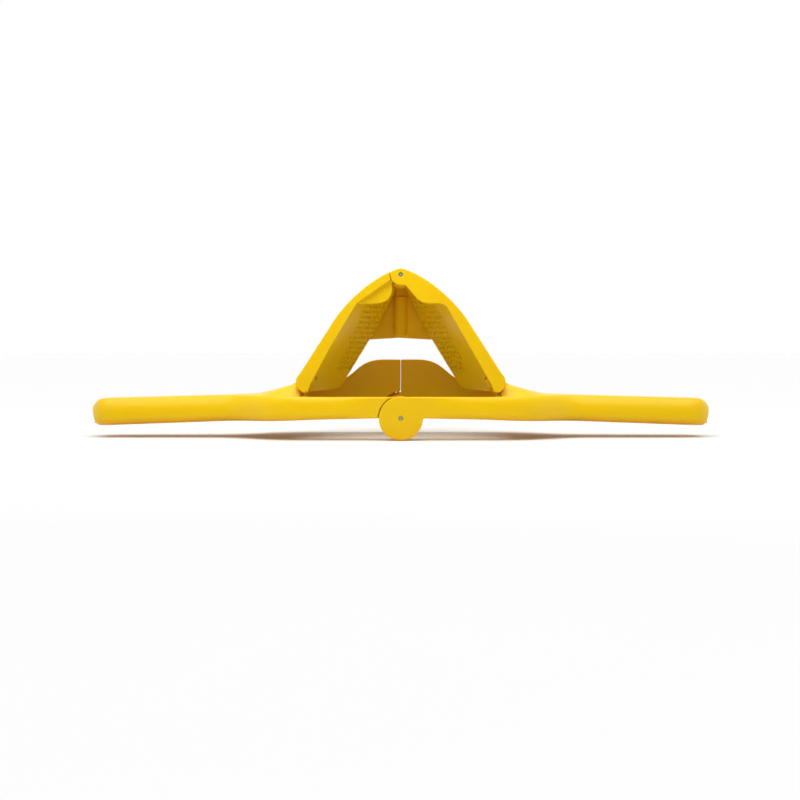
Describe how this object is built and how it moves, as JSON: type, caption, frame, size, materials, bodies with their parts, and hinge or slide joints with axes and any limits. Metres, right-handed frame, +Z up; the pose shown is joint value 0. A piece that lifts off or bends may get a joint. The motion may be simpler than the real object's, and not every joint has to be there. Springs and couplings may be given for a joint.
{
  "type": "citrus press juicer",
  "caption": "Hand-held folding citrus juicer: hinged handles with ring frames squeeze fruit between toothed press plates.",
  "frame": {"origin": "centre of the overall box on the surface that the pivot discs stand on, handles spread flat", "axes": "+X runs along the spread handles to the right handle, +Y runs to the back along the pivots, +Z points up to the apex pivot"},
  "size_m": [0.4, 0.084, 0.1067],
  "materials": {
    "handle_plastic": "satin gloss moulded nylon",
    "plate_plastic": "satin gloss moulded nylon",
    "pin_steel": "ground stainless rod with cut ends"
  },
  "bodies": {
    "left_handle": {"left_handle": "handle_plastic", "rear_pivot_pin": "pin_steel"},
    "right_handle": {"right_handle": "handle_plastic", "front_pivot_pin": "pin_steel"},
    "left_plate": {"left_press_plate": "plate_plastic", "left_hinge_pin": "pin_steel"},
    "right_plate": {"right_press_plate": "plate_plastic", "right_hinge_pin": "pin_steel", "apex_pin": "pin_steel"}
  },
  "joints": [
    {"name": "handle_fold", "type": "hinge", "parent": "left_handle", "child": "right_handle", "pos_m": [0, 0, 0.0137], "axis": [0, 1, 0], "range_deg": [0, 176]},
    {"name": "left_plate_pivot", "type": "hinge", "parent": "left_handle", "child": "left_plate", "pos_m": [-0.0583, 0, 0.0359], "axis": [0, 1, 0], "range_deg": [0, 62.7]},
    {"name": "right_plate_pivot", "type": "hinge", "parent": "right_handle", "child": "right_plate", "pos_m": [0.0583, 0, 0.0359], "axis": [0, 1, 0], "range_deg": [-62.7, 0]}
  ],
  "couplings": [
    {"joint": "left_plate_pivot", "follows": "handle_fold", "ratio": 0.35625},
    {"joint": "right_plate_pivot", "follows": "handle_fold", "ratio": -0.35625}
  ]
}
